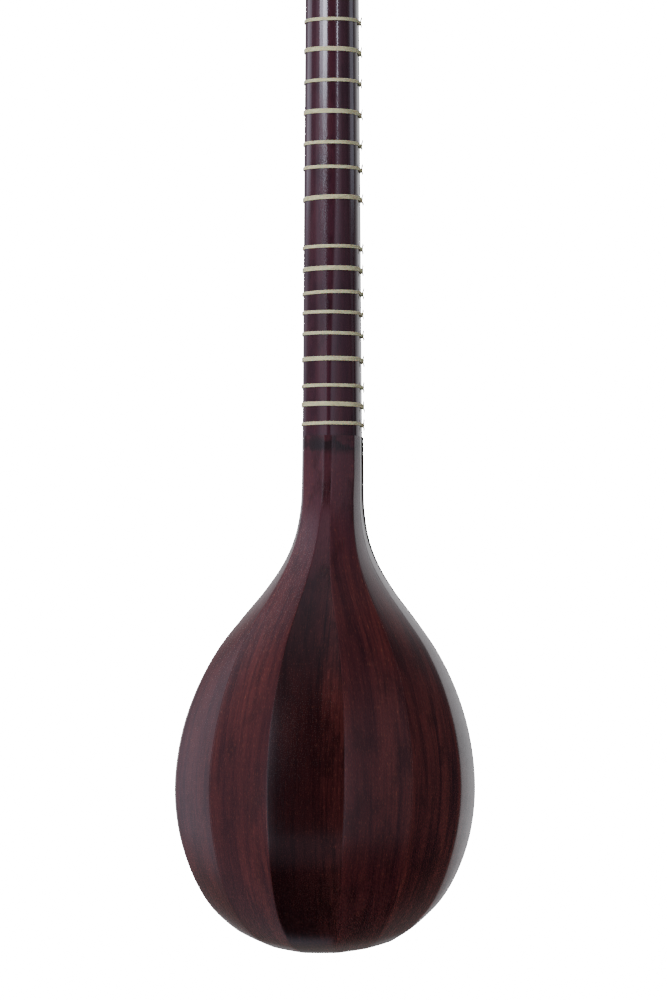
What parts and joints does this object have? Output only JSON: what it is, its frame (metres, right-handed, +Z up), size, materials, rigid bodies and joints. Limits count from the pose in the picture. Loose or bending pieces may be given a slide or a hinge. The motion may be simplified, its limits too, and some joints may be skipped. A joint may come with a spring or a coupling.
{
  "type": "setar",
  "caption": "Long-necked plucked lute with a pear-shaped ribbed bowl, movable tied frets, four wooden tuning pegs and four strings.",
  "frame": {"origin": "on the neck's middle line, in the plane of the soundboard's back face, 20 mm above the middle of the nut, where the instrument hangs", "axes": "+Z up along the neck towards the head, -Y out of the soundboard towards the strings, +Y to the back of the bowl, -X to the bass side"},
  "size_m": [0.153, 0.1697, 0.833],
  "materials": {
    "dark_walnut": "semi-gloss lacquer over dark stain",
    "red_walnut": "semi-gloss lacquer over dark stain",
    "neck_walnut": "semi-gloss lacquer over dark stain",
    "mulberry": "satin",
    "block_wood": "unfinished",
    "ebony": "satin",
    "bone": "polished bone",
    "gut": "twisted gut",
    "steel_wire": "plain wire",
    "bronze_wire": "plain wire"
  },
  "bodies": {
    "instrument": {"rib_bass_4": "red_walnut", "rib_bass_3": "dark_walnut", "rib_bass_2": "red_walnut", "rib_bass_1": "dark_walnut", "rib_center": "red_walnut", "rib_treble_1": "dark_walnut", "rib_treble_2": "red_walnut", "rib_treble_3": "dark_walnut", "rib_treble_4": "red_walnut", "soundboard": "mulberry", "soundboard_brace": "block_wood", "tail_clasp": "ebony", "tail_block": "block_wood", "neck_block": "block_wood", "neck": "neck_walnut", "fingerboard": "ebony", "head_plate": "ebony", "nut": "bone", "bridge": "ebony", "string_holder": "bone", "string_1": "steel_wire", "string_2": "bronze_wire", "string_3": "steel_wire", "string_4": "bronze_wire"},
    "peg_front_low_turning": {"peg_front_low": "ebony", "winding_1": "steel_wire"},
    "peg_front_high_turning": {"peg_front_high": "ebony", "winding_2": "bronze_wire"},
    "peg_side_low_turning": {"peg_side_low": "ebony", "winding_3": "steel_wire"},
    "peg_side_high_turning": {"peg_side_high": "ebony", "winding_4": "bronze_wire"},
    "fret_01_band": {"fret_01": "gut"},
    "fret_02_band": {"fret_02": "gut"},
    "fret_03_band": {"fret_03": "gut"},
    "fret_04_band": {"fret_04": "gut"},
    "fret_05_band": {"fret_05": "gut"},
    "fret_06_band": {"fret_06": "gut"},
    "fret_07_band": {"fret_07": "gut"},
    "fret_08_band": {"fret_08": "gut"},
    "fret_09_band": {"fret_09": "gut"},
    "fret_10_band": {"fret_10": "gut"},
    "fret_11_band": {"fret_11": "gut"},
    "fret_12_band": {"fret_12": "gut"},
    "fret_13_band": {"fret_13": "gut"},
    "fret_14_band": {"fret_14": "gut"},
    "fret_15_band": {"fret_15": "gut"},
    "fret_16_band": {"fret_16": "gut"},
    "fret_17_band": {"fret_17": "gut"},
    "fret_18_band": {"fret_18": "gut"},
    "fret_19_band": {"fret_19": "gut"},
    "fret_20_band": {"fret_20": "gut"},
    "fret_21_band": {"fret_21": "gut"},
    "fret_22_band": {"fret_22": "gut"},
    "fret_23_band": {"fret_23": "gut"},
    "fret_24_band": {"fret_24": "gut"},
    "fret_25_band": {"fret_25": "gut"},
    "fret_26_band": {"fret_26": "gut"}
  },
  "joints": [
    {"name": "peg_front_low_turn", "type": "hinge", "parent": "instrument", "child": "peg_front_low_turning", "pos_m": [0.0045, -0.003, 0.02], "axis": [0, -1, 0], "continuous": true},
    {"name": "peg_front_high_turn", "type": "hinge", "parent": "instrument", "child": "peg_front_high_turning", "pos_m": [0, -0.003, 0.064], "axis": [0, -1, 0], "continuous": true},
    {"name": "peg_side_low_turn", "type": "hinge", "parent": "instrument", "child": "peg_side_low_turning", "pos_m": [-0.01175, 0.011, 0.042], "axis": [-1, 0, 0], "continuous": true},
    {"name": "peg_side_high_turn", "type": "hinge", "parent": "instrument", "child": "peg_side_high_turning", "pos_m": [-0.01175, 0.011, 0.086], "axis": [-1, 0, 0], "continuous": true},
    {"name": "fret_01_slide", "type": "slide", "parent": "instrument", "child": "fret_01_band", "axis": [0, 0, 1], "range_m": [-0.003, 0.003]},
    {"name": "fret_02_slide", "type": "slide", "parent": "instrument", "child": "fret_02_band", "axis": [0, 0, 1], "range_m": [-0.003, 0.003]},
    {"name": "fret_03_slide", "type": "slide", "parent": "instrument", "child": "fret_03_band", "axis": [0, 0, 1], "range_m": [-0.003, 0.003]},
    {"name": "fret_04_slide", "type": "slide", "parent": "instrument", "child": "fret_04_band", "axis": [0, 0, 1], "range_m": [-0.003, 0.003]},
    {"name": "fret_05_slide", "type": "slide", "parent": "instrument", "child": "fret_05_band", "axis": [0, 0, 1], "range_m": [-0.003, 0.003]},
    {"name": "fret_06_slide", "type": "slide", "parent": "instrument", "child": "fret_06_band", "axis": [0, 0, 1], "range_m": [-0.003, 0.003]},
    {"name": "fret_07_slide", "type": "slide", "parent": "instrument", "child": "fret_07_band", "axis": [0, 0, 1], "range_m": [-0.003, 0.003]},
    {"name": "fret_08_slide", "type": "slide", "parent": "instrument", "child": "fret_08_band", "axis": [0, 0, 1], "range_m": [-0.003, 0.003]},
    {"name": "fret_09_slide", "type": "slide", "parent": "instrument", "child": "fret_09_band", "axis": [0, 0, 1], "range_m": [-0.003, 0.003]},
    {"name": "fret_10_slide", "type": "slide", "parent": "instrument", "child": "fret_10_band", "axis": [0, 0, 1], "range_m": [-0.003, 0.003]},
    {"name": "fret_11_slide", "type": "slide", "parent": "instrument", "child": "fret_11_band", "axis": [0, 0, 1], "range_m": [-0.003, 0.003]},
    {"name": "fret_12_slide", "type": "slide", "parent": "instrument", "child": "fret_12_band", "axis": [0, 0, 1], "range_m": [-0.003, 0.003]},
    {"name": "fret_13_slide", "type": "slide", "parent": "instrument", "child": "fret_13_band", "axis": [0, 0, 1], "range_m": [-0.003, 0.003]},
    {"name": "fret_14_slide", "type": "slide", "parent": "instrument", "child": "fret_14_band", "axis": [0, 0, 1], "range_m": [-0.003, 0.003]},
    {"name": "fret_15_slide", "type": "slide", "parent": "instrument", "child": "fret_15_band", "axis": [0, 0, 1], "range_m": [-0.003, 0.003]},
    {"name": "fret_16_slide", "type": "slide", "parent": "instrument", "child": "fret_16_band", "axis": [0, 0, 1], "range_m": [-0.003, 0.003]},
    {"name": "fret_17_slide", "type": "slide", "parent": "instrument", "child": "fret_17_band", "axis": [0, 0, 1], "range_m": [-0.003, 0.003]},
    {"name": "fret_18_slide", "type": "slide", "parent": "instrument", "child": "fret_18_band", "axis": [0, 0, 1], "range_m": [-0.003, 0.003]},
    {"name": "fret_19_slide", "type": "slide", "parent": "instrument", "child": "fret_19_band", "axis": [0, 0, 1], "range_m": [-0.003, 0.003]},
    {"name": "fret_20_slide", "type": "slide", "parent": "instrument", "child": "fret_20_band", "axis": [0, 0, 1], "range_m": [-0.003, 0.003]},
    {"name": "fret_21_slide", "type": "slide", "parent": "instrument", "child": "fret_21_band", "axis": [0, 0, 1], "range_m": [-0.003, 0.003]},
    {"name": "fret_22_slide", "type": "slide", "parent": "instrument", "child": "fret_22_band", "axis": [0, 0, 1], "range_m": [-0.003, 0.003]},
    {"name": "fret_23_slide", "type": "slide", "parent": "instrument", "child": "fret_23_band", "axis": [0, 0, 1], "range_m": [-0.003, 0.003]},
    {"name": "fret_24_slide", "type": "slide", "parent": "instrument", "child": "fret_24_band", "axis": [0, 0, 1], "range_m": [-0.003, 0.003]},
    {"name": "fret_25_slide", "type": "slide", "parent": "instrument", "child": "fret_25_band", "axis": [0, 0, 1], "range_m": [-0.003, 0.003]},
    {"name": "fret_26_slide", "type": "slide", "parent": "instrument", "child": "fret_26_band", "axis": [0, 0, 1], "range_m": [-0.003, 0.003]}
  ]
}
